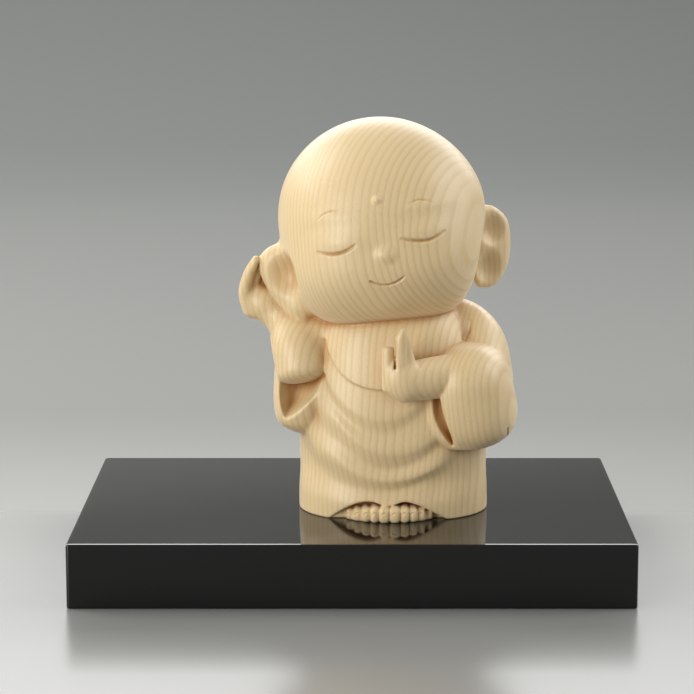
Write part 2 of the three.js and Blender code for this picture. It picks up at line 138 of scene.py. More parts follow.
# Stations of rounded limbs: x, y, z, half width, half depth.
RIGHT_ARM = [(8, 4, 72, 9, 10), (23.6, 2, 70.6, 11, 13), (31.8, -2, 63.6, 12, 16), (34.6, -7, 51, 12, 17)]
RIGHT_FOREARM = [(22, -30, 56.8, 8.2, 6.6), (12, -35.4, 56.3, 8, 6), (4.5, -38.8, 55.8, 7.2, 5.2)]
LEFT_ARM = [(-8, 4, 73, 9, 10), (-23, 5, 70, 11, 11), (-32, 4, 58, 11, 11.5), (-36, 0, 47, 9.5, 10)]
LEFT_SHOULDER = {"at": (-29, -9, 69.6), "size": (6.5, 8, 8.6)}
LEFT_FOREARM = [(-35.3, -15.5, 57.8, 10.4, 9.4), (-36.8, -13, 65, 10.4, 9), (-39.6, -6.4, 72.6, 9.4, 7.6),
                (-46.6, -2.6, 79, 7.2, 6)]

# Levels of a hanging sleeve: z, left, right, front, back.
RIGHT_SLEEVE = [
    (26.8, 30, 30, -17, -17), (27.5, 19, 35.6, -29.5, -6), (30, 14, 42.2, -34, 2), (34, 10.5, 46.2, -37, 8),
    (40, 8.6, 47.9, -38.8, 11), (48, 8.6, 46.8, -40, 11), (55, 11, 44.8, -40.4, 9),
    (61, 12.5, 42.6, -38.2, 6),
    (65, 16.5, 38.8, -33.6, 3), (67.2, 21.5, 34.4, -27.6, -1), (68, 28, 28, -14, -14),
]
LEFT_SLEEVE = [
    (30.4, -36, -36, -8, -8), (31.2, -39.5, -30, -14.5, 0), (34.2, -44.4, -27.6, -19, 5),
    (37.6, -46.1, -26.4, -20.6, 7), (42, -46.7, -25, -21.4, 8.6), (48, -46.7, -23.6, -22.4, 10),
    (56, -46.2, -22.6, -21.6, 10), (62, -45, -23.4, -18.4, 8), (66, -34, -34, -4, -4),
]
LEFT_MOUTH = [
    (37.2, -41.8, -41.8, -22, -22), (38.4, -43, -40, -26, -17), (42, -44.2, -35.6, -31, -12),
    (47, -45, -30.8, -34, -9), (52, -45, -27.8, -35, -8), (56, -44.5, -27, -34, -9),
    (58.5, -36, -36, -20, -20),
]
MOUTH_EDGE = [(17.2, 49.8), (17.4, 48), (18.8, 42.1), (20.8, 36.4), (23.1, 31.1), (24.5, 27), (24.7, 25)]
MOUTH_BACK = -33.4
MOUTH_HOLLOW = [(15.8, -33.4, 50, 1.3, 3.6), (16.9, -33.4, 42, 1.7, 4), (19.6, -32.8, 35.4, 1.4, 3.6),
                (22.2, -31.4, 30.6, 0.6, 2.4)]

CUP_HEEL = {"at": (-51.4, -3, 81.4), "size": (6.7, 6, 6.3), "turn": (0, 12, 0)}
CUP_FINGERS = [
    [(-55.6, -4.5, 78, 3, 3), (-57.7, -5.5, 85, 2.5, 3), (-56, -7.5, 92.6, 2.1, 2.7),
     (-53.2, -9.3, 98.2, 1.5, 2)],
    [(-53, -2.2, 78, 3, 3), (-54.6, -2.6, 85.5, 2.5, 2.8), (-52.8, -4.4, 93, 2, 2.5),
     (-51, -6.4, 98, 1.5, 2)],
    [(-50, -0.6, 79, 3, 3), (-51, -0.6, 86, 2.4, 2.7), (-49.6, -2.4, 92.6, 2, 2.4),
     (-48.2, -4.2, 96, 1.5, 2)],
    [(-47, 0.6, 80, 2.8, 3), (-47.6, 0.8, 86, 2.4, 2.6), (-46.4, -0.6, 92, 2, 2.4),
     (-45.6, -2, 94.6, 1.5, 2)],
]
PALM = {"at": (2.2, -39.2, 57), "size": (6.6, 5.6, 8.6), "turn": (0, -14, 0)}
CHEST_FINGERS = [
    [(2.4, -41.4, 58, 3, 2.6), (2.1, -42.6, 66, 2.3, 2.3), (2.1, -43, 72.4, 2.1, 2.1),
     (3.1, -43, 76, 1, 1.4)],
    [(6.2, -39.6, 57, 3.6, 3.2), (4.8, -40, 65.5, 2.5, 2.6), (3.9, -40.8, 71.6, 1.8, 2),
     (3.3, -41.6, 75.4, 1, 1.4)],
]
THUMB = [(-1.8, -38.8, 54, 3, 3.4), (-2.5, -39.4, 61, 2.4, 3), (-2.5, -39.4, 68, 2.35, 2.8)]
THUMB_GAP = [(0, -43.4, 61.6, 0.5, 2.8), (0.1, -43.4, 72, 0.5, 2.8)]
BLUNT = 3.0

# Ears: outline as x and z seen from the front, the leaf's middle, how far its plane goes back to the right,
# its half thickness, and the balls that hollow it or swell it.
LEFT_EAR = {
    "outline": [(-33, 88), (-35, 97), (-38, 104), (-42.6, 104.4), (-47.4, 103.4), (-50.9, 100.4),
                (-52, 96.8), (-51.5, 92.4), (-48.6, 86.4), (-44.6, 80.5), (-40.1, 76.3), (-36.6, 75.2),
                (-33.5, 76.2), (-31.3, 78.5)],
    "middle": (-41.6, -9, 91), "slant": -0.16, "thick": 5.4,
}
LEFT_DISH = {"at": (-42, -17.6, 93.2), "size": (5.9, 6.6, 7.7), "turn": (0, -8, 0)}
LEFT_LOBE = {"at": (-36.4, -11.2, 80.4), "size": (5, 4.6, 5.6)}
RIGHT_EAR = {
    "outline": [(30, 95), (31.9, 87.3), (35, 85.8), (39, 86.2), (42.6, 89.4), (45.1, 94.9), (45.9, 102),
                (45.3, 109.6), (43.2, 113.8), (39.6, 116.9), (37, 117.9), (34.3, 117.4), (31, 112),
                (30, 103)],
    "middle": (38, 4, 102), "slant": 0.6, "thick": 4.6,
}
RIGHT_DISHES = [
    {"at": (39.6, -1.2, 109.6), "size": (5.6, 5, 6.2), "turn": (0, 0, 31)},
    {"at": (38, -2.6, 93.6), "size": (5.8, 5, 6.6), "turn": (0, 0, 31)},
]

# Lines cut with a point after the forms: half width and depth in mm, and the share of the length that
# tapers at each end. The creases are given as x and z seen from the front.
FACE_CUTS = [(EYE_LINES, (0.4, 1.4, 0.4)), (BROW_LINES, (0.3, 0.55, 0.4)), ([SMILE_LINE], (0.29, 1.1, 0.12))]
NAIL_CUT = (0.2, 0.3, 0.3)
CREASES = [
    ([(29.5, 75.4), (29.4, 71.9), (27.1, 67.8)], 0.4, 0.7, 0.5),
    ([(14.4, 63), (17.2, 58.6), (18.2, 54), (16.8, 49.6)], 0.7, 0.16, 0.5),
    ([(43.4, 36.6), (43.6, 31.6)], 0.24, 0.7, 0.3),
]

# Blocks that the parts are carved in: lowest and highest corner.
WHOLE_BLOCK = (-62, -50, -4), (56, 45, 158)
SKULL_BLOCK = (-62, -50, 60), (58, 45, 158)
DRESS_BLOCK = (-62, -50, -4), (54, 45, 100)
CUP_BLOCK = (-68, -30, 40), (-20, 20, 106)
FINGERS_BLOCK = (-68, -30, 66), (-30, 20, 106)
CHEST_BLOCK = (-12, -52, 40), (40, -14, 84)
FEET_BLOCK = (-26, -42, -6), (22, -14, 12)
# The last number of a join or a cut is the width in mm over which two surfaces run into each other. EXACT
# keeps them as they are. THIN_REACH is how far out, in mm, the distances of a thin form are exact.
EXACT, THIN_REACH = 0.1, 3
# Cubes that find the hollows to paint shade in: half size in mm, weight, and the level and span of the share
# that is wood.
SHADE_CUBES = [(1.5, 0.35, 0.54, 0.3), (4, 0.35, 0.53, 0.3), (6.5, 0.3, 0.52, 0.2)]
# Steps of the carving's grid in mm, the triangles it is thinned to, and how often faces split at a fine line.
GRID, QUICK_GRID, TRIANGLES, SPLITS = 0.5, 1.0, 100000, 3

# Growth rings, which are shells about the heart of the tree: the bearing that they face, from the front to
# the right, and their tilt upwards; where they are straightest, and their bow across, upwards and on the
# slant in 1 / mm; and the numbers of some rings with their depth in mm past the middle of the head.
RING_WAY, RING_TILT, RING_MIDDLE = math.radians(58.85), math.radians(6), -15.3
RING_BOW, RING_BOW_UP, RING_TWIST = 0.0089, 0.0012, -0.0014
RINGS = [(-75, -29), (-8.9, 0), (-1.7, 3), (2, 4), (6.8, 6), (12.5, 8), (15.5, 9), (20, 11), (25.7, 14),
         (32.9, 18), (36.5, 20), (85, 42)]

# Softboxes: name, place in metres, width and height. Each looks at the figure's middle.
SOFTBOXES = [
    ("key", (-0.95, 0.35, 0.9), (0.8, 0.8)),
    ("front", (-0.9, -0.95, 0.36), (0.7, 0.7)),
    ("fill", (1.05, 0.1, 0.7), (0.8, 0.8)),
    ("back", (0.1, 1.6, 0.98), (3.2, 0.9)),
]
LIT_AT = np.array([0.01, 0, 0.09])
# The table's front edge, where it bends up, the bend's radius, and the wall's height and half width, in m.
TABLE_FRONT, BEND_START, BEND, WALL_TOP = -2.6, 1.3, 0.6, 3.2

# The camera, from the board's corners in the photo: its side, focal length and optical axis in pixels, then
# the place in metres and how far the lens dips.
PHOTO_SIDE, PHOTO_FOCAL, PHOTO_AXIS = 694, 2545, 359
SENSOR_WIDTH = 36  # mm
CAMERA_PLACE, CAMERA_DIP = (0.002566, -0.98987, 0.2556), math.radians(9.7432)


def linear(hex_colour):
    """An sRGB hex colour as the three linear numbers that Blender works with."""
    parts = [int(hex_colour[i:i + 2], 16) / 255 for i in (1, 3, 5)]
    return tuple(c / 12.92 if c <= 0.04045 else ((c + 0.055) / 1.055) ** 2.4 for c in parts)


# Curves and surfaces

def smooth(value, start, end):
    """A soft step: 0 before start, 1 after end, 3tt - 2ttt in between."""
    t = np.clip((value - start) / (end - start), 0, 1)
    return t * t * (3 - 2 * t)


def along(rows, t):
    """Catmull-Rom curve through rows of numbers: a cubic from row to row, with half the step between its
    neighbours as the slope at each row. t runs from 0 at the first row to 1 at the last."""
    rows = np.asarray(rows, float)
    place = np.clip(t, 0, 1) * (len(rows) - 1)
    i = np.minimum(place.astype(int), len(rows) - 2)
    f = (place - i)[..., None]
    start, end = rows[i], rows[i + 1]
    leave = (end - rows[np.maximum(i - 1, 0)]) / 2
    arrive = (rows[np.minimum(i + 2, len(rows) - 1)] - start) / 2
    square = 3 * (end - start) - 2 * leave - arrive
    cube = 2 * (start - end) + leave + arrive
    return start + f * (leave + f * (square + f * cube))


def section(v, wide, deep, power=2.0):
    """Superellipse: each half size times the cosine or sine of the turn, raised to 2 / power with its sign
    kept."""
    c, s = np.cos(2 * np.pi * v), np.sin(2 * np.pi * v)
    return wide * np.sign(c) * np.abs(c) ** (2 / power), deep * np.sign(s) * np.abs(s) ** (2 / power)


def turned(degrees):
    """Rotation matrix that turns about z, then about y, then about x."""
    a, b, c = np.radians(degrees)
    about_x = np.array([[1, 0, 0], [0, math.cos(a), -math.sin(a)], [0, math.sin(a), math.cos(a)]])
    about_y = np.array([[math.cos(b), 0, math.sin(b)], [0, 1, 0], [-math.sin(b), 0, math.cos(b)]])
    about_z = np.array([[math.cos(c), -math.sin(c), 0], [math.sin(c), math.cos(c), 0], [0, 0, 1]])
    return about_x @ about_y @ about_z


def closed_shell(rings, around, point):
    """Points, triangles and quads of a closed surface. point(u, v) gives whole arrays: u runs from the pole
    at 0 to the pole at 1 in the first index and v once around in the second."""
    u, v = np.meshgrid(np.linspace(0, 1, rings + 1), np.arange(around) / around, indexing="ij")
    grid = np.stack(np.broadcast_arrays(*point(u, v)), axis=-1)
    points = np.concatenate([grid[0, :1], grid[1:-1].reshape(-1, 3), grid[-1, :1]])
    here = 1 + np.arange((rings - 1) * around).reshape(rings - 1, around)
    beside = np.roll(here, -1, axis=1)
    quads = np.stack([here[:-1], beside[:-1], beside[1:], here[1:]], axis=-1).reshape(-1, 4)
    last = len(points) - 1
    bottom = np.stack([np.zeros(around, int), beside[0], here[0]], axis=-1)
    top = np.stack([np.full(around, last), here[-1], beside[-1]], axis=-1)
    return points, np.concatenate([bottom, top]), quads


def limb(stations, side=(1, 0, 0), rings=70, around=80, cap=16, blunt=2.0):
    """A limb: an ellipse carried along the curve through its stations, square to it, with its half width
    along `side`. Past both ends it shrinks with a cosine and moves out with a sine, each raised to 2 /
    blunt, which makes half a ball, or a flatter end where blunt is above 2."""
    def spine(t):
        return along(stations, t)[..., :3]

    def point(u, v):
        ring = u * rings
        t = np.clip((ring - cap) / (rings - 2 * cap), 0, 1)
        past = np.maximum(np.maximum(cap - ring, ring - (rings - cap)), 0) / cap
        tangent = spine(np.minimum(t + 0.02, 1)) - spine(np.maximum(t - 0.02, 0))
        tangent /= np.linalg.norm(tangent, axis=-1, keepdims=True)
        across = np.array(side, float) - tangent * (tangent @ np.array(side, float))[..., None]
        across /= np.linalg.norm(across, axis=-1, keepdims=True)
        other = np.cross(tangent, across)
        row = along(stations, t)
        shrink = np.maximum(np.cos(past * np.pi / 2), 0) ** (2 / blunt)
        push = np.sin(past * np.pi / 2) ** (2 / blunt) * np.minimum(row[..., 3], row[..., 4]) * 2 / blunt
        push = push * np.where(ring < cap, -1, 1)
        a, b = section(v, row[..., 3] * shrink, row[..., 4] * shrink)
        place = row[..., :3] + tangent * push[..., None] + across * a[..., None] + other * b[..., None]
        return np.moveaxis(place, -1, 0)

    return closed_shell(rings, around, point)


def arch(u, power):
    """Half a superellipse from pole to pole: how wide it is, from 0 to 1, and how high, from -1 to 1."""
    rise = np.pi * (u - 0.5)
    wide, high = np.maximum(np.cos(rise), 0), np.sin(rise)
    return wide ** (2 / power), np.sign(high) * np.abs(high) ** (2 / power)


def ball(at, size, turn=(0, 0, 0), rings=48, around=72, power=2.0):
    """An ellipsoid, or a boxier one where power is above 2: half sizes times the width and height of an
    arch and the section around it, turned and moved to its place."""
    def point(u, v):
        wide, high = arch(u, power)
        a, b = section(v, size[0] * wide, size[1] * wide, power)
        local = np.stack([a, b, size[2] * high], axis=-1)
        return np.moveaxis(local @ turned(turn).T + np.array(at, float), -1, 0)

    return closed_shell(rings, around, point)


def leaf(outline, middle, slant, thick, rings=48, around=160, power=2.7):
    """A thick leaf: its outline in x and z shrinks to the middle as an arch does, while the arch's height
    goes to both sides of a plane that slants back to the right."""
    closed = np.array([*outline, outline[0]], float)

    def point(u, v):
        wide, high = arch(u, power)
        edge_x, edge_z = np.moveaxis(along(closed, v), -1, 0)
        x = middle[0] + (edge_x - middle[0]) * wide
        z = middle[2] + (edge_z - middle[2]) * wide
        return x, middle[1] + slant * (x - middle[0]) + thick * high, z

    return closed_shell(rings, around, point)


def bag(levels, rings=120, around=160, power=2.3):
    """A soft upright bag: at each height a superellipse between its left, right, front and back."""
    def point(u, v):
        z, left, right, front, back = np.moveaxis(along(levels, u), -1, 0)
        a, b = section(v, (right - left) / 2, (back - front) / 2, power)
        return (left + right) / 2 + a, (front + back) / 2 + b, z

    return closed_shell(rings, around, point)


# The head

def head_reach(way, radius):
    """How far the head reaches along unit directions in its own axes: the radius, times one plus a bell
    curve of the angle to each swelling."""
    swell = 1
    for middle, share, spread in HEAD_SWELLS:
        angle = np.arccos(np.clip(way @ (np.array(middle) / np.linalg.norm(middle)), -1, 1))
        swell = swell + share * np.exp(-(angle / math.radians(spread)) ** 2 / 2)
    return radius * swell


def face_relief(right, front, up, radius):
    """Height of the face's soft forms in mm: bell curves of the distance right and up, faded out past the
    side."""
    height = 0
    pairs = [(side * r + FACE_SHIFT, *rest) for r, *rest in FACE_PAIRS for side in (1, -1)]
    for r, u, wide, tall, rise in FACE_FORMS + pairs:
        height = height + rise * np.exp(-((right - r) / wide) ** 2 / 2 - ((up - u) / tall) ** 2 / 2)
    return height * smooth(front, 0.1 * radius, 0.5 * radius)


def from_head(local, lean):
    """From the head's own axes (right, front, up) to the figure's: it leans about the y axis."""
    right, front, up = np.moveaxis(local, -1, 0)
    x, y, z = HEAD_MIDDLE
    c, s = math.cos(lean), math.sin(lean)
    return np.stack([x + right * c - up * s, y - front, z + right * s + up * c], axis=-1)


def on_face(places, radius, lean, out=0.0):
    """Points on the face for places given as (right, up): the front that makes the distance equal the
    reach."""
    right, up = np.array(places, float).T
    front = np.full(len(right), float(radius))
    for _ in range(6):
        local = np.stack([right, front, up], axis=-1)
        reach = head_reach(local / np.linalg.norm(local, axis=-1, keepdims=True), radius)
        front = np.sqrt(reach ** 2 - right ** 2 - up ** 2)
    local = np.stack([right, front, up], axis=-1)
    length = np.linalg.norm(local, axis=-1, keepdims=True)
    relief = face_relief(right, front, up, radius)[:, None]
    return from_head(local * (1 + (out + relief) / length), lean)


def head_surface(radius, lean, rings=260, around=400):
    """The head: latitude and longitude directions times the reach, with the face's relief added along
    them."""
    def point(u, v):
        rise = np.pi * (u - 0.5)
        turn = 2 * np.pi * v
        way = np.stack([np.cos(rise) * np.cos(turn), -np.cos(rise) * np.sin(turn), np.sin(rise)], -1)
        reach = head_reach(way, radius)
        local = way * reach[..., None]
        reach = reach + face_relief(local[..., 0], local[..., 1], local[..., 2], radius)
        return np.moveaxis(from_head(way * reach[..., None], lean), -1, 0)

    return closed_shell(rings, around, point)


# The robe

def chest_edge(bearing):
    """Lower edge of the chest cloth: lowest in front, rising with the cube of the bearing."""
    return CHEST["low"] + CHEST["rise"] * (np.minimum(np.abs(bearing), CHEST["reach"]) / CHEST["reach"]) ** 3


def robe_reach(bearing, z):
    """Reach of the plain robe at a bearing: the superellipse through the half width and the depth at that
    height."""
    heights = ROBE_LEVELS[:, 0]
    i = np.clip(np.searchsorted(heights, z - 1e-6), 1, len(heights) - 1)
    part = (z - heights[i - 1]) / (heights[i] - heights[i - 1])
    _, wide, front, back = np.moveaxis(along(ROBE_LEVELS, (i - 1 + part) / (len(heights) - 1)), -1, 0)
    s, c = np.abs(np.sin(np.radians(bearing))), np.cos(np.radians(bearing))
    deep = np.where(c > 0, front, back)
    return ((s / wide) ** ROBE_POWER + (np.abs(c) / deep) ** ROBE_POWER) ** (-1 / ROBE_POWER)


def robe_surface(fold_depth, columns=460, band=16, chest_rows=70):
    """The robe: at each bearing the plain reach plus the height of the cloth. Rows of points follow the
    drape lines, parabolas of the bearing, and between two lines the height goes over in a soft step, so
    each line is a crest or a hollow. Above the chest edge the cloth stands proud."""
    top = ROBE_LEVELS[-1, 0]
    skirt = len(DRAPES) * band
    rows = 1 + skirt + 1 + chest_rows + 1

    def line(drape, bearing):
        low, at, left, right, cap, height, start, end = drape
        off = bearing - at
        z = np.minimum(low + np.where(off < 0, left, right) * off * off, cap * chest_edge(bearing))
        fade = smooth(bearing, start, start + 18) * (1 - smooth(bearing, end - 18, end))
        return z, fold_depth * height * fade

    def point(u, v):
        row = np.round(u * rows).astype(int) - 1
        bearing = 360 * v - 180 + 24 * np.sin(2 * np.pi * v)
        edge = chest_edge(bearing)
        lines = [line(drape, bearing) for drape in DRAPES]
        lines.append((edge - 0.4, CHEST["sill"] * (1 - smooth(np.abs(bearing), 50, 66))))
        place = np.clip(row / band, 0, len(DRAPES))
        lower = np.minimum(place.astype(int), len(DRAPES) - 1)
        part = place - lower
        zs, heights = (np.stack(values) for values in zip(*lines))
        low_z, high_z = (np.take_along_axis(zs, (lower + k)[None], 0)[0] for k in (0, 1))
        low_h, high_h = (np.take_along_axis(heights, (lower + k)[None], 0)[0] for k in (0, 1))
        step = smooth(part, 0, 1)
        z = low_z + (high_z - low_z) * part
        proud = low_h + (high_h - low_h) * step
        chest = row > skirt
        chest_z = edge + (top - edge) * (row - skirt - 1) / chest_rows
        chest_proud = CHEST["proud"] * (1 - smooth(np.abs(bearing), 52, 68)) * (1 - smooth(chest_z, 78, 88))
        z = np.where(chest, chest_z, z)
        proud = np.where(chest, chest_proud, proud)
        for at, level, wide, tall, depth in SKIRT_DENTS:
            proud = proud - depth * np.exp(-((bearing - at) / wide) ** 2 / 2 - ((z - level) / tall) ** 2 / 2)
        z = np.clip(z, 0, top)
        reach = robe_reach(bearing, z) + proud
        pole = (row < 0) | (row == rows - 1)
        reach = np.where(pole, 0, reach)
        z = np.where(row < 0, 0, np.where(row == rows - 1, ROBE_CROWN, z))
        return reach * np.sin(np.radians(bearing)), -reach * np.cos(np.radians(bearing)), z

    return closed_shell(rows, columns, point)


# The board

def board_surface(low, high, edge, around=128):
    """The board: a profile with rounded edges, as inset and height from the middle of the underside to the
    middle of the top, carried around a rectangle whose corners are quarter circles. Each quarter of the way
    around is a straight, a corner over half of the quarter, and a straight."""
    half, middle = (high[:2] - low[:2]) / 2, (high[:2] + low[:2]) / 2
    turn = np.linspace(0, np.pi / 2, 7)
    flat = np.array([half.min(), half.min() / 2, 3 * edge])
    inset = np.concatenate([flat, edge - edge * np.sin(turn), edge - edge * np.cos(turn), flat[::-1]])
    lower, upper = low[2] + edge - edge * np.cos(turn), high[2] - edge + edge * np.sin(turn)
    level = np.concatenate([[low[2]] * 3, lower, upper, [high[2]] * 3])

    def point(u, v):
        row = np.round(u * (len(inset) - 1)).astype(int)
        quarter = (v * 4).astype(int)
        part = v * 4 - quarter
        angle = (quarter + np.clip((part - 0.25) / 0.5, 0, 1)) * np.pi / 2
        leave, arrive = np.clip((1 - part) / 0.25, 0, 1), np.clip(part / 0.25, 0, 1)
        even = quarter % 2 == 0
        right, back = np.where((quarter == 0) | (quarter == 3), 1, -1), np.where(quarter < 2, 1, -1)
        x = right * (half[0] - BOARD_CORNER) * np.where(even, leave, arrive) + BOARD_CORNER * np.cos(angle)
        y = back * (half[1] - BOARD_CORNER) * np.where(even, arrive, leave) + BOARD_CORNER * np.sin(angle)
        pole = (row == 0) | (row == len(inset) - 1)
        x, y = (np.where(pole, 0, p * (1 - inset[row] / h)) for p, h in zip((x, y), half))
        return x + middle[0], y + middle[1], level[row]

    return closed_shell(len(inset) - 1, around, point)


# Carving: forms are joined and cut as distances on a fine grid

class Wood:
    """Signed distance to a form in mm at the points of a cubic grid, below 0 inside the wood. A closed
    surface that is joined to it or cut from it has exact distances out to `reach` on both sides."""

    def __init__(self, low, high, step, reach=5.0):
        self.step, self.reach = step, reach
        self.low = np.floor(np.array(low, float) / step).astype(int)
        size = np.ceil(np.array(high, float) / step).astype(int) - self.low + 1
        self.values = np.full(size, 1e3, np.float32)

    @classmethod
    def of(cls, shell, step, reach):
        """The distance field of a closed surface, exact out to `reach` on both sides and level past
        that."""
        points, triangles, quads = shell
        wood = cls(points.min(0) - reach, points.max(0) + reach, step, reach)
        grid = vdb.FloatGrid.createLevelSetFromPolygons(
            points.astype(np.float32), triangles=triangles.astype(np.uint32), quads=quads.astype(np.uint32),
            transform=vdb.createLinearTransform(voxelSize=step), halfWidth=reach / step)
        grid.copyToArray(wood.values, ijk=tuple(int(k) for k in wood.low))
        return wood

    def places(self, part=(slice(None),) * 3):
        """The x, y and z in mm of the grid, or of a part of it, as three open arrays."""
        axes = [(self.low[k] + np.arange(self.values.shape[k]))[part[k]] * self.step for k in range(3)]
        return np.meshgrid(*axes, indexing="ij", sparse=True)

    def shared(self, other):
        """The slices of both grids where they lie over each other."""
        low = np.maximum(self.low, other.low)
        high = np.minimum(self.low + self.values.shape, other.low + other.values.shape)
        spans = [zip(low - grid.low, np.maximum(high, low) - grid.low) for grid in (self, other)]
        return [tuple(slice(a, b) for a, b in span) for span in spans]

    def merge(self, form, soft, sign):
        """Smooth minimum or maximum of two distances: h = (k - |a - b|) / k where that is above 0, and k h
        h / 4 is taken off the smaller or put on the larger. soft is k, in mm or as a function of x, y and
        z."""
        other = form if isinstance(form, Wood) else Wood.of(form, self.step, self.reach)
        mine, theirs = self.shared(other)
        a, b = self.values[mine], other.values[theirs] * sign
        k = soft(*other.places(theirs)) if callable(soft) else soft
        h = np.maximum(k - np.abs(a - b), 0) / k
        near = np.minimum(a, b) if sign > 0 else np.maximum(a, b)
        self.values[mine] = near - sign * k * h * h / 4

    def join(self, form, soft=0.8):
        self.merge(form, soft, 1)

    def cut(self, form, soft=0.8):
        self.merge(form, soft, -1)

    def cut_where(self, depth, soft=0.8):
        """Cuts away the region where depth(x, y, z), a distance in mm, is below 0."""
        region = copy.copy(self)
        region.values = np.broadcast_to(depth(*self.places()), self.values.shape).astype(np.float32)
        self.cut(region, soft)

    def sample(self, points, values=None):
        """Values at points in mm, linear between the eight grid points around each."""
        values = self.values if values is None else values
        place = np.asarray(points) / self.step - self.low
        place = np.clip(place, 0, np.array(values.shape) - 1.001)
        base = place.astype(int)
        f = place - base
        total = 0
        for corner in range(8):
            bits = np.array([(corner >> k) & 1 for k in range(3)])
            weight = np.prod(np.where(bits, f, 1 - f), axis=-1)
            total = total + weight * values[tuple((base + bits).T)]
        return total

    def slope(self, points):
        """Gradient at points, from differences of one grid step."""
        shift = np.eye(3) * self.step * 0.5
        return np.stack([self.sample(points + d) - self.sample(points - d) for d in shift], -1) / self.step

    def front_of(self, places, start=-50.0):
        """The first wood met from the front at places given as (x, z)."""
        x, z = np.array(places, float).T
        ys = np.arange(start, 10, 0.1)
        ray = np.stack(np.broadcast_arrays(x[:, None], ys, z[:, None]), axis=-1)
        inside = self.sample(ray.reshape(-1, 3)).reshape(len(x), -1) < 0
        return np.stack([x, ys[np.argmax(inside, axis=1)], z], axis=-1)


def blurred(values, cells):
    """Mean over a cube: running sums along each axis in turn."""
    for axis in range(3):
        edge = [(0, 0)] * 3
        edge[axis] = (cells + 1, cells)
        run = np.cumsum(np.pad(values, edge, mode="edge"), axis=axis, dtype=np.float32)
        size = values.shape[axis]
        wide = 2 * cells + 1
        high = np.take(run, np.arange(wide, wide + size), axis=axis)
        low = np.take(run, np.arange(0, size), axis=axis)
        values = (high - low) / wide
    return values


def carve_skull(radius, lean, step):
    skull = Wood(*SKULL_BLOCK, step, reach=4.5)
    skull.join(head_surface(radius, lean), EXACT)
    lean_turn = (0, -math.degrees(lean), 0)
    for knob in (NOSE, URNA):
        place = on_face([knob["at"]], radius, lean, knob["out"])[0]
        skull.join(ball(place, knob["size"], lean_turn), knob["soft"])
    left = Wood.of(leaf(**LEFT_EAR), step, skull.reach)
    left.join(ball(**LEFT_LOBE), 3)
    skull.join(left, 3.6)
    skull.cut(ball(**LEFT_DISH), 3.4)
    skull.join(leaf(**RIGHT_EAR), 1.8)
    for dish in RIGHT_DISHES:
        skull.cut(ball(**dish), 2.4)
    return skull


def carve_dress(fold_depth, step):
    dress = Wood(*DRESS_BLOCK, step, reach=7.5)
    dress.join(robe_surface(fold_depth), EXACT)
    arch_x, arch_z = along(HEM_ARCH, np.linspace(0, 1, 200)).T

    def under_hem(x, y, z):
        lift = np.interp(x, arch_x, arch_z, left=-3, right=-3)
        slope = np.gradient(lift, axis=0) / step
        return np.maximum((z - lift) / np.sqrt(1 + slope ** 2), y - HEM_BACK)

    dress.cut_where(under_hem)
    dress.join(limb(RIGHT_ARM), 3.5)
    dress.join(limb(LEFT_ARM), 7)
    dress.join(ball(**LEFT_SHOULDER), 5)
    left_mouth = Wood.of(bag(LEFT_MOUTH, power=1.6), step, THIN_REACH)
    dress.cut(left_mouth, 1)

    edge_x, edge_z = along(MOUTH_EDGE, np.linspace(0, 1, 100)).T

    def beside_mouth(x, y, z):
        side = x - np.interp(z, edge_z[::-1], edge_x[::-1])
        return np.maximum(np.maximum(side * 0.96, y - MOUTH_BACK), z - MOUTH_EDGE[0][1])

    right, left = (Wood.of(bag(levels), step, dress.reach) for levels in (RIGHT_SLEEVE, LEFT_SLEEVE))
    right.cut_where(beside_mouth, 0.9)
    right.cut(Wood.of(limb(MOUTH_HOLLOW), step, THIN_REACH), 0.7)
    left.cut(left_mouth, 1.2)
    dress.join(right, lambda x, y, z: 1 + 4.5 * smooth(z, 56, 66) * smooth(y, -24, -8) + 0 * x)
    dress.join(left, lambda x, y, z: 1.4 + 5 * smooth(z, 56, 72))
    return dress


def carve_hands(step):
    cup = Wood(*CUP_BLOCK, step, reach=5.5)
    cup.join(limb(LEFT_FOREARM, blunt=BLUNT), EXACT)
    cup.join(ball(**CUP_HEEL), 5)
    fingers = Wood(*FINGERS_BLOCK, step, THIN_REACH)
    for finger in CUP_FINGERS:
        fingers.join(limb(finger, around=48), 0.5)
    cup.join(fingers, 2.2)

    chest = Wood(*CHEST_BLOCK, step, reach=5.5)
    chest.join(limb(RIGHT_FOREARM, side=(0, 0, 1)), EXACT)
    chest.join(ball(**PALM), 3)
    for finger in CHEST_FINGERS:
        chest.join(limb(finger, around=48), 1)
    chest.join(limb(THUMB, around=48, blunt=BLUNT))
    chest.cut(Wood.of(limb(THUMB_GAP, around=32), step, 2), 0.4)
    return cup, chest


def toes():
    """Middle, half width and half height of each toe, from the big toe outwards on each foot."""
    for middle, outward in zip(FOOT["middles"], (-1, 1)):
        inner = middle - outward * sum(TOES["widths"])
        for i, width in enumerate(TOES["widths"]):
            tall = (TOES["tall"] - TOES["drop"] * i * i / 3) / 2
            front = TOES["front"] + TOES["back"] * i * (i + 1)
            yield np.array([inner + outward * width, front + TOES["long"], tall * 0.9]), width, tall
            inner += outward * 2 * width


def carve_feet(step):
    feet = Wood(*FEET_BLOCK, step, THIN_REACH)
    for middle in FOOT["middles"]:
        feet.join(ball((middle, FOOT["y"], FOOT["z"]), FOOT["size"]), 0.4)
    for middle, width, tall in toes():
        size = width * 1.12, TOES["long"], tall * 1.1
        feet.join(ball(middle, size, rings=40, around=56, power=3.2), 0.6)
    return feet


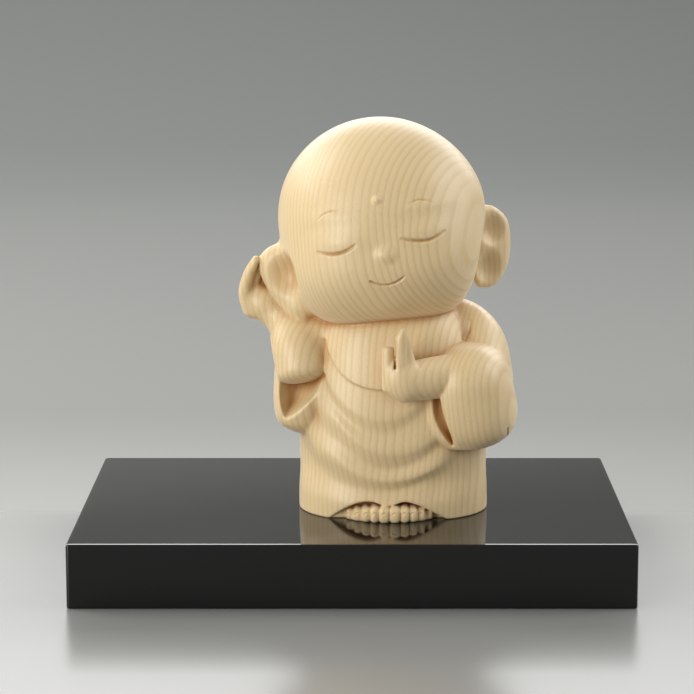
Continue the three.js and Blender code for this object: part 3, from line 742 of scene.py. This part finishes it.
def carved_figure(shape, step):
    """The whole figure: dress, skull, hands and feet joined in one block, which is cut level underneath."""
    radius, lean = shape.head_radius / MM, shape.head_lean
    block = Wood(*WHOLE_BLOCK, step)
    block.join(carve_dress(shape.fold_depth, step), EXACT)
    block.join(carve_skull(radius, lean, step), 0.9)
    cup, chest = carve_hands(step)
    block.join(cup, lambda x, y, z: 0.7 + 2.6 * smooth(z, 60, 70) * smooth(x, -40, -34) + 0 * y)
    block.join(chest, 0.7)
    block.join(carve_feet(step), 0.4)
    block.cut_where(lambda x, y, z: z + 0 * x + 0 * y, 0.05)
    return block


def skin(block):
    """The surface where the distance is 0, as points and faces, drawn onto it with two steps down the
    slope."""
    grid = vdb.FloatGrid(10.0)
    grid.copyFromArray(block.values, ijk=tuple(int(k) for k in block.low))
    grid.transform = vdb.createLinearTransform(voxelSize=block.step)
    points, triangles, quads = grid.convertToPolygons(isovalue=0, adaptivity=0)
    points = points.astype(float)
    for _ in range(2):
        slope = block.slope(points)
        square = np.maximum((slope ** 2).sum(-1, keepdims=True), 0.25)
        points = points - np.clip(block.sample(points)[:, None] / square, -0.2, 0.2) * slope
    points[:, 2] = np.maximum(points[:, 2], 0)
    return points, triangles.astype(int), quads.astype(int)


def filled_mesh(name, points, triangles, quads):
    """A mesh from whole arrays, with its faces pointing outwards and smooth shading."""
    corners = np.concatenate([triangles.ravel(), quads.ravel()])
    sizes = np.concatenate([np.full(len(triangles), 3), np.full(len(quads), 4)])
    mesh = bpy.data.meshes.new(name)
    mesh.vertices.add(len(points))
    mesh.vertices.foreach_set("co", np.asarray(points, np.float32).ravel())
    mesh.loops.add(len(corners))
    mesh.loops.foreach_set("vertex_index", corners.astype(np.int32))
    mesh.polygons.add(len(sizes))
    starts = np.concatenate([[0], np.cumsum(sizes)[:-1]])
    mesh.polygons.foreach_set("loop_start", starts.astype(np.int32))
    mesh.update(calc_edges=True)
    mesh.validate()
    bm = bmesh.new()
    bm.from_mesh(mesh)
    if bm.calc_volume(signed=True) < 0:
        bmesh.ops.reverse_faces(bm, faces=bm.faces)
    bm.to_mesh(mesh)
    bm.free()
    mesh.shade_smooth()
    return mesh


def placed(name, mesh):
    """A new object at the origin that shows a mesh."""
    piece = bpy.data.objects.new(name, mesh)
    bpy.context.scene.collection.objects.link(piece)
    return piece


def thinned(mesh, count):
    """The mesh with about `count` triangles, its flat parts thinned most."""
    carrier = placed("thinning", mesh)
    triangles = sum(len(p.vertices) - 2 for p in mesh.polygons)
    modifier = carrier.modifiers.new("thin", "DECIMATE")
    modifier.ratio = min(1, count / triangles)
    modifier.use_collapse_triangulate = True
    result = bpy.data.meshes.new_from_object(carrier.evaluated_get(bpy.context.evaluated_depsgraph_get()))
    bpy.data.objects.remove(carrier)
    result.name = mesh.name
    return result


def mesh_points(mesh):
    points = np.empty(len(mesh.vertices) * 3, np.float32)
    mesh.vertices.foreach_get("co", points)
    return points.reshape(-1, 3).astype(float)


def set_points(mesh, points):
    mesh.vertices.foreach_set("co", points.astype(np.float32).ravel())
    mesh.update()


def nearest(points, line):
    """Distance from each point to the nearest sample of a line, and how far along it that is, from 0 to
    1."""
    far = np.full(len(points), 1e3)
    where = np.zeros(len(points))
    close = np.flatnonzero(((points > line.min(0) - 3) & (points < line.max(0) + 3)).all(axis=1))
    if len(close):
        gaps = np.linalg.norm(points[close, None] - line[None], axis=-1)
        far[close] = gaps.min(1)
        where[close] = gaps.argmin(1) / (len(line) - 1)
    return far, where


def split(mesh, cuts, rounds):
    """Splits the faces near the lines in four, a few times over, closer to the line each time."""
    bm = bmesh.new()
    bm.from_mesh(mesh)
    for turn in range(rounds):
        bm.verts.ensure_lookup_table()
        points = np.array([v.co for v in bm.verts])
        near = np.zeros(len(points), bool)
        for line, wide, _, _ in cuts:
            near |= nearest(points, line)[0] < 2.6 * wide + 0.6 / 2 ** turn
        edges = [e for e in bm.edges if near[e.verts[0].index] or near[e.verts[1].index]]
        bmesh.ops.subdivide_edges(bm, edges=edges, cuts=1, use_grid_fill=True, smooth=0.0)
    bmesh.ops.triangulate(bm, faces=[f for f in bm.faces if len(f.verts) > 3])
    bm.to_mesh(mesh)
    bm.free()


def sink(mesh, cuts):
    """Sinks each point along its normal by the depth of a cut times a bell curve of its distance to the
    line, less towards both ends of the line."""
    points = mesh_points(mesh)
    normals = np.empty(len(points) * 3, np.float32)
    mesh.vertices.foreach_get("normal", normals)
    normals = normals.reshape(-1, 3)
    for line, wide, depth, taper in cuts:
        far, where = nearest(points, line)
        ends = np.clip(np.minimum(where, 1 - where) / taper, 0, 1) ** 0.6
        points = points - normals * (depth * ends * np.exp(-(far / wide) ** 2 / 2))[:, None]
    set_points(mesh, points)


def fine_lines(block, radius, lean):
    """The lines cut last with a point: samples along each, half width, depth and taper."""
    t = np.linspace(0, 1, 160)
    cuts = [(on_face(along(line, t), radius, lean), *cut) for lines, cut in FACE_CUTS for line in lines]
    for line, wide, depth, taper in CREASES:
        cuts.append((block.front_of(along(line, t)), wide, depth, taper))
    for middle, width, tall in toes():
        # A nail's root: an arch over the toe, lowest at its ends.
        across = np.linspace(-1, 1, 40) * NAIL["wide"] * width
        rise = 2 * tall * (NAIL["top"] - NAIL["sag"] * (across / (NAIL["wide"] * width)) ** 2)
        cuts.append((block.front_of(np.stack([middle[0] + across, rise], -1)), *NAIL_CUT))
    return cuts


def paint_hollow_shade(mesh, block):
    """Writes how deep each point lies in the folds and hollows, from 0 on a flat or rounded place to 1 in a
    tight fold:
    the mean over the cubes of (share of the cube around it that is wood - level) / span. The wood's material
    paints shade there by it."""
    wood = np.clip(0.5 - block.values / block.step, 0, 1).astype(np.float32)
    points = mesh_points(mesh)
    total = 0
    for size, weight, level, span in SHADE_CUBES:
        share = block.sample(points, blurred(wood, max(1, round(size / block.step))))
        total = total + weight * np.clip((share - level) / span, 0, 1)
    attribute = mesh.attributes.new("hollow", "FLOAT", "POINT")
    attribute.data.foreach_set("value", total.astype(np.float32))


# Materials

def node(tree, kind, inputs=(), stops=(), out=0, **settings):
    """Adds one shader node and returns its output `out`. inputs pairs a socket's name or number with a
    value or with an output to link it to, stops are a ramp's places and colours, and settings are the
    node's own properties."""
    new = tree.nodes.new("ShaderNode" + kind)
    for name, value in settings.items():
        setattr(new, name, value)
    for key, value in dict(inputs).items():
        if isinstance(value, bpy.types.NodeSocket):
            tree.links.new(value, new.inputs[key])
        else:
            new.inputs[key].default_value = value
    if stops:
        points = new.color_ramp.elements
        while len(points) < len(stops):
            points.new(1)
        for point, (place, colour) in zip(points, stops):
            point.position, point.color = place, (*colour, 1)
    return new.outputs[out] if new.outputs else None


def new_material(name):
    """An empty material, and the function that adds nodes to it."""
    material = bpy.data.materials.new(name)
    material.use_nodes = True
    material.node_tree.nodes.clear()
    return material, functools.partial(node, material.node_tree)


def grey(value):
    return value, value, value


def carved_softwood(wood):
    """Close-grained cypress, carved, sanded and given one thin coat of oil. The growth rings cut the surface
    as faint tan lines 2 to 3.5 mm apart that swirl where it turns with them. The fibres give fine upright
    streaks and a satin sheen, and tight folds are painted browner, as painted shade and warm bounced light."""
    material, add = new_material("Carved oiled cypress")
    place = add("TexCoord", out="Object")
    # Depth in the tree in mm: d = n.q + v (bow v / 2 + twist z) + bow_up z z / 2, with q the place from the
    # middle of the head, n the way the shells face, v how far q is to the side and z how far up.
    middle = (STAND + (0, 0, HEAD_MIDDLE[2])) * MM
    c, d = math.cos(RING_TILT), math.sin(RING_TILT)
    facing = (math.sin(RING_WAY) * c, -math.cos(RING_WAY) * c, d)
    beside = (math.cos(RING_WAY), math.sin(RING_WAY), 0)
    away = add("VectorMath", {0: place, 1: middle}, operation="SUBTRACT")
    q = add("VectorMath", {0: away, "Scale": 1 / MM}, operation="SCALE")
    ahead = add("VectorMath", {0: q, 1: facing}, operation="DOT_PRODUCT", out="Value")
    across = add("VectorMath", {0: q, 1: beside}, operation="DOT_PRODUCT", out="Value")
    v = add("Math", {0: across, 1: RING_MIDDLE}, operation="SUBTRACT")
    z = add("SeparateXYZ", {"Vector": q}, out="Z")
    twist = add("Math", {0: z, 1: RING_TWIST}, operation="MULTIPLY")
    bow = add("Math", {0: v, 1: RING_BOW / 2, 2: twist}, operation="MULTIPLY_ADD")
    bowed = add("Math", {0: v, 1: bow, 2: ahead}, operation="MULTIPLY_ADD")
    rise = add("Math", {0: z, 1: RING_BOW_UP / 2}, operation="MULTIPLY")
    depth = add("Math", {0: z, 1: rise, 2: bowed}, operation="MULTIPLY_ADD")
    bend = add("Mapping", {"Vector": place, "Scale": (25, 25, 8)})
    wave = add("TexNoise", {"Vector": bend, "Scale": 1.0, "Detail": 2.0})
    strayed = add("Math", {0: wave, 1: wood.ring_wander / MM, 2: depth}, operation="MULTIPLY_ADD")
    (first, first_ring), (last, last_ring) = RINGS[0], RINGS[-1]
    share = add("MapRange", {"Value": strayed, "From Min": first, "From Max": last})
    counted = add("FloatCurve", {"Value": share})
    for at, ring in RINGS[1:-1]:
        counted_share = (ring - first_ring) / (last_ring - first_ring)
        counted.node.mapping.curves[0].points.new((at - first) / (last - first), counted_share)
    counted.node.mapping.update()
    count = add("Math", {0: counted, 1: float(last_ring - first_ring), 2: 0.12}, operation="MULTIPLY_ADD")
    ring = add("Math", {0: count}, operation="FRACT")
    late = add("ValToRGB", {"Fac": ring}, [
        (0.0, grey(1)), (0.12, grey(0.9)), (0.2, grey(0.06)), (0.6, grey(0.12)), (0.86, grey(0.6)),
        (1.0, grey(1)),
    ])
    patch = add("TexNoise", {"Vector": bend, "Scale": 2.0, "Detail": 3.0})
    faint = add("MapRange", {"Value": patch, "From Min": 0.3, "From Max": 0.7, "To Min": 0.45})
    strength = add("Math", {0: late, 1: faint}, operation="MULTIPLY")
    ringed = add("Mix", {"Factor": strength, 6: (*wood.pale, 1), 7: (*wood.ring, 1)}, data_type="RGBA",
                 out=2)
    # Fibres: 0.3 mm wide and about 10 mm long.
    stretch = add("Mapping", {"Vector": place, "Scale": (3200, 3200, 100)})
    fibre = add("TexNoise", {"Vector": stretch, "Scale": 1.0, "Detail": 3.0, "Roughness": 0.6})
    streak = add("ValToRGB", {"Fac": fibre}, [(0.3, (0.93, 0.91, 0.87)), (0.52, grey(1)), (1.0, grey(1))])
    fibred = add("Mix", {"Factor": 1.0, 6: ringed, 7: streak}, data_type="RGBA", blend_type="MULTIPLY",
                 out=2)
    # Painted shade: where the carving folds in tightly, the colour is tinted browner and darker, standing in
    # for the shade and warm bounced light there.
    hollow = add("Attribute", out="Fac", attribute_name="hollow")
    deep = add("ValToRGB", {"Fac": hollow}, [(0.0, grey(0)), (0.15, grey(0.12)), (0.85, grey(1))])
    tint = add("Mix", {"Factor": deep, 6: (*grey(1), 1), 7: (*wood.hollow, 1)}, data_type="RGBA", out=2)
    colour = add("Mix", {"Factor": 1.0, 6: fibred, 7: tint}, data_type="RGBA", blend_type="MULTIPLY", out=2)
    rough = add("Math", {0: fibre, 1: 0.12, 2: wood.roughness - 0.06}, operation="MULTIPLY_ADD")
    relief = add("Math", {0: fibre, 1: 0.6, 2: late}, operation="MULTIPLY_ADD")
    bump = add("Bump", {"Height": relief, "Strength": 0.4, "Distance": 0.00004})
    shader = add("BsdfPrincipled", {"Base Color": colour, "Roughness": rough, "Normal": bump, "IOR": 1.48,
                                    "Sheen Weight": wood.sheen, "Sheen Roughness": 0.4})
    add("OutputMaterial", {"Surface": shader})
    return material


def black_lacquer(board):
    """Sprayed and polished black lacquer on a wooden board: near black, with a mirror-like gloss in which a
    very shallow orange peel, waves of 6 to 10 mm, only just bends the reflections."""
    material, add = new_material("Polished black lacquer")
    place = add("TexCoord", out="Object")
    peel = add("TexNoise", {"Vector": place, "Scale": 130.0, "Detail": 1.0})
    bump = add("Bump", {"Height": peel, "Strength": 0.3, "Distance": 0.00002})
    haze = add("TexNoise", {"Vector": place, "Scale": 25.0, "Detail": 3.0})
    rough = add("Math", {0: haze, 1: 0.03, 2: board.roughness - 0.015}, operation="MULTIPLY_ADD")
    shader = add("BsdfPrincipled", {"Base Color": (*board.lacquer, 1), "Roughness": rough, "Normal": bump,
                                    "IOR": 1.45})
    add("OutputMaterial", {"Surface": shader})
    return material


def studio_paper(studio):
    """Pale glossy table top that runs up into a matt grey backdrop."""
    material, add = new_material("Pale glossy table top")
    place = add("TexCoord", out="Object")
    across, back, up = add("SeparateXYZ", {"Vector": place}).node.outputs
    path = add("Math", {0: back, 1: up}, operation="ADD")
    share = add("MapRange", {"Value": path, "From Min": -0.4, "From Max": 2.6})
    # Painted shade, in part: the table in front of the board is a darker tone than beside it, standing in for
    # the board's shade and dark reflection there.
    tone = add("ValToRGB", {"Fac": share}, [
        (0.0, studio.near), (0.1, studio.near), (0.133, studio.beside),
        (0.233, studio.middle), (0.64, studio.far), (0.83, studio.far),
        (0.88, studio.high), (1.0, studio.high),
    ])
    # Painted shade: the colour darkens to the right, where the light falls off. The table's gloss fades out
    # towards the matt backdrop.
    painted_falloff = add("MapRange", {"Value": across, "From Min": -0.4, "From Max": 0.4, "To Min": 1.05,
                               "To Max": 0.88})
    tone = add("Mix", {"Factor": 1.0, 6: tone, 7: painted_falloff}, data_type="RGBA", blend_type="MULTIPLY", out=2)
    rough = add("MapRange", {"Value": path, "From Min": 0.05, "From Max": 0.35, "To Min": studio.gloss,
                             "To Max": 0.5})
    # At a low angle a reflection falls with about the cube root of its level, so the level fades as a cube.
    fade = add("MapRange", {"Value": path, "From Min": -0.05, "From Max": 0.34, "To Min": 0.794,
                            "To Max": 0.0})
    sheen = add("Math", {0: fade, 1: 3.0}, operation="POWER")
    shader = add("BsdfPrincipled", {"Base Color": tone, "Roughness": rough, "IOR": 1.5,
                                    "Specular IOR Level": sheen})
    add("OutputMaterial", {"Surface": shader})
    return material


# Sizes and colours that a user would change

class JizoShape(bpy.types.PropertyGroup):
    head_radius: FloatProperty(name="Head radius", description="Radius of the head without its cheeks",
                               default=0.04, min=0.03, max=0.045, unit="LENGTH")
    head_lean: FloatProperty(name="Head lean", description="How far the head leans to the cupped hand",
                             default=math.radians(7.5), subtype="ANGLE")
    fold_depth: FloatProperty(name="Fold depth", description="Share of the full depth of the skirt's folds",
                              default=1.2, min=0.0, max=1.5, subtype="FACTOR")


class JizoWood(bpy.types.PropertyGroup):
    pale: FloatVectorProperty(name="Pale wood", description="Colour of the early wood between the rings",
                              default=linear("#e8ce9f"), size=3, subtype="COLOR", min=0, max=1)
    ring: FloatVectorProperty(name="Ring", description="Colour of the late wood in each ring",
                              default=linear("#dbbd8a"), size=3, subtype="COLOR", min=0, max=1)
    # Painted shade: the colour that tight folds are tinted towards, standing in for their shade.
    hollow: FloatVectorProperty(name="Hollow tint", description="Tint of the wood deep in the folds",
                                default=linear("#c89e62"), size=3, subtype="COLOR", min=0, max=1)
    ring_wander: FloatProperty(name="Ring wander", description="How far the rings stray from true circles",
                               default=0.0006, unit="LENGTH")
    roughness: FloatProperty(name="Roughness", description="Mean roughness of the sanded wood",
                             default=0.4, min=0, max=1, subtype="FACTOR")
    sheen: FloatProperty(name="Sheen",
                         description="Pale shine of the short fibres where the wood turns away",
                         default=0.3, min=0, max=1, subtype="FACTOR")


class JizoBoard(bpy.types.PropertyGroup):
    edge: FloatProperty(name="Edge radius", description="Radius of the board's softened edges",
                        default=0.0007, unit="LENGTH")
    lacquer: FloatVectorProperty(name="Lacquer", description="Colour of the lacquer",
                                 default=linear("#131312"), size=3, subtype="COLOR", min=0, max=1)
    roughness: FloatProperty(name="Roughness", description="Mean roughness of the polished lacquer",
                             default=0.07, min=0, max=1, subtype="FACTOR")


class JizoStudio(bpy.types.PropertyGroup):
    # Painted shade, in part: this tone is darker than the table beside the board, for the board's shade and
    # dark reflection in front of it.
    near: FloatVectorProperty(name="Table near", description="Colour of the table top in front",
                              default=linear("#949490"), size=3, subtype="COLOR", min=0, max=1)
    beside: FloatVectorProperty(name="Table beside the board",
                                description="Colour of the table top beside the board",
                                default=linear("#a4a4a0"), size=3, subtype="COLOR", min=0, max=1)
    middle: FloatVectorProperty(name="Table far", description="Colour of the table top behind",
                                default=linear("#959592"), size=3, subtype="COLOR", min=0, max=1)
    far: FloatVectorProperty(name="Backdrop", description="Colour of the backdrop",
                             default=linear("#787a77"), size=3, subtype="COLOR", min=0, max=1)
    high: FloatVectorProperty(name="Backdrop above", description="Colour of the backdrop above the picture",
                              default=linear("#b4b4b1"), size=3, subtype="COLOR", min=0, max=1)
    gloss: FloatProperty(name="Table roughness", description="Roughness of the glossy table top",
                         default=0.25, min=0, max=1, subtype="FACTOR")
    key: FloatProperty(name="Key light", description="Strength of the soft light from the left and behind",
                       default=9.0, unit="POWER")
    front: FloatProperty(name="Front light", description="Strength of the soft light from the front left",
                         default=10.5, unit="POWER")
    fill: FloatProperty(name="Fill light", description="Strength of the soft light from the right",
                        default=8.0, unit="POWER")
    back: FloatProperty(name="Back light",
                        description="Strength of the wide panel behind, above the picture",
                        default=33.0, unit="POWER")
    room: FloatProperty(name="Room light", description="Strength of the even light from all sides",
                        default=0.5, min=0)


# Operators

class JIZO_OT_figure(bpy.types.Operator):
    """Carve the child monk from one block of softwood"""
    bl_idname = "jizo.figure"
    bl_label = "Carve the figure"

    def execute(self, context):
        shape, wood = context.scene.jizo_shape, context.scene.jizo_wood
        block = carved_figure(shape, GRID)
        mesh = thinned(filled_mesh("jizo_carving", *skin(block)), TRIANGLES)
        cuts = fine_lines(block, shape.head_radius / MM, shape.head_lean)
        split(mesh, cuts, SPLITS)
        sink(mesh, cuts)
        paint_hollow_shade(mesh, block)
        set_points(mesh, (mesh_points(mesh) + STAND) * MM)
        mesh.shade_smooth()
        piece = placed("jizo_carving", mesh)
        piece.data.materials.append(carved_softwood(wood))
        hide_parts("jizo_figure")
        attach(piece, "root")
        return {"FINISHED"}


class JIZO_OT_board(bpy.types.Operator):
    """Make the lacquered board that the figure stands on"""
    bl_idname = "jizo.board"
    bl_label = "Lacquer the board"

    def execute(self, context):
        board = context.scene.jizo_board
        mesh = filled_mesh("lacquer_board", *board_surface(BOARD_LOW, BOARD_HIGH, board.edge))
        piece = placed("lacquer_board", mesh)
        piece.data.materials.append(black_lacquer(board))
        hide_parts("lacquer_plinth")
        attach(piece, "root")
        return {"FINISHED"}


class JIZO_OT_studio(bpy.types.Operator):
    """Set the table, the lights and the camera"""
    bl_idname = "jizo.studio"
    bl_label = "Set the studio"

    def execute(self, context):
        studio = context.scene.jizo_studio
        scene = context.scene
        # Floor, quarter circle and wall as one profile of y and z, carried along x.
        bend = np.linspace(0, np.pi / 2, 24)
        y = np.concatenate([[TABLE_FRONT, 0], BEND_START + BEND * np.sin(bend), [BEND_START + BEND]])
        z = np.concatenate([[0, 0], BEND - BEND * np.cos(bend), [WALL_TOP]])
        x = np.linspace(-WALL_TOP, WALL_TOP, 9)
        grid = np.stack(np.broadcast_arrays(x[:, None], y[None], z[None]), -1)
        here = np.arange(grid.shape[0] * grid.shape[1]).reshape(grid.shape[:2])
        quads = np.stack([here[:-1, :-1], here[1:, :-1], here[1:, 1:], here[:-1, 1:]], -1).reshape(-1, 4)
        mesh = bpy.data.meshes.new("table_and_backdrop")
        mesh.from_pydata(grid.reshape(-1, 3).tolist(), [], quads.tolist())
        mesh.shade_smooth()
        sweep = placed("table_and_backdrop", mesh)
        sweep.data.materials.append(studio_paper(studio))

        for name, place, size in SOFTBOXES:
            lamp = bpy.data.lights.new(name + "_softbox", "AREA")
            lamp.shape = "RECTANGLE"
            lamp.size, lamp.size_y = size
            lamp.energy = getattr(studio, name)
            softbox = bpy.data.objects.new(name + "_softbox", lamp)
            scene.collection.objects.link(softbox)
            aim = LIT_AT - np.array(place)
            softbox.location = place
            down = math.acos(-aim[2] / np.linalg.norm(aim))
            softbox.rotation_euler = (down, 0, math.atan2(aim[1], aim[0]) - math.pi / 2)

        world = bpy.data.worlds.new("soft_room")
        world.use_nodes = True
        sky = world.node_tree.nodes["Background"]
        sky.inputs["Color"].default_value = (*linear("#dfe0e2"), 1)
        sky.inputs["Strength"].default_value = studio.room
        scene.world = world
        scene.view_settings.view_transform = "Standard"

        lens = bpy.data.cameras.new("camera")
        lens.sensor_width = SENSOR_WIDTH
        lens.lens = PHOTO_FOCAL / PHOTO_SIDE * SENSOR_WIDTH
        lens.shift_x = (PHOTO_SIDE / 2 - PHOTO_AXIS) / PHOTO_SIDE
        lens.clip_end = 30
        camera = bpy.data.objects.new("camera", lens)
        camera.location = CAMERA_PLACE
        camera.rotation_euler = (math.pi / 2 - CAMERA_DIP, 0, 0)
        scene.collection.objects.link(camera)
        scene.camera = camera
        return {"FINISHED"}


class JIZO_PT_panel(bpy.types.Panel):
    """Buttons and settings for the carved jizo"""
    bl_idname = "JIZO_PT_panel"
    bl_label = "Carved jizo"
    bl_space_type = "VIEW_3D"
    bl_region_type = "UI"
    bl_category = "Jizo"

    def draw(self, context):
        layout = self.layout
        for operator, group in ((JIZO_OT_figure, "jizo_shape"), (None, "jizo_wood"),
                                (JIZO_OT_board, "jizo_board"), (JIZO_OT_studio, "jizo_studio")):
            box = layout.box()
            if operator:
                box.operator(operator.bl_idname)
            settings = getattr(context.scene, group)
            for name in settings.__annotations__:
                box.prop(settings, name)


GROUPS = {"jizo_shape": JizoShape, "jizo_wood": JizoWood, "jizo_board": JizoBoard, "jizo_studio": JizoStudio}
CLASSES = (*GROUPS.values(), JIZO_OT_figure, JIZO_OT_board, JIZO_OT_studio, JIZO_PT_panel)


def register():
    for cls in CLASSES:
        bpy.utils.register_class(cls)
    for name, group in GROUPS.items():
        setattr(bpy.types.Scene, name, PointerProperty(type=group))


def unregister():
    for name in GROUPS:
        delattr(bpy.types.Scene, name)
    for cls in reversed(CLASSES):
        bpy.utils.unregister_class(cls)


def main():
    register()
    bpy.ops.jizo.studio()
    bpy.ops.jizo.figure()
    bpy.ops.jizo.board()


if __name__ == "__main__":
    main()
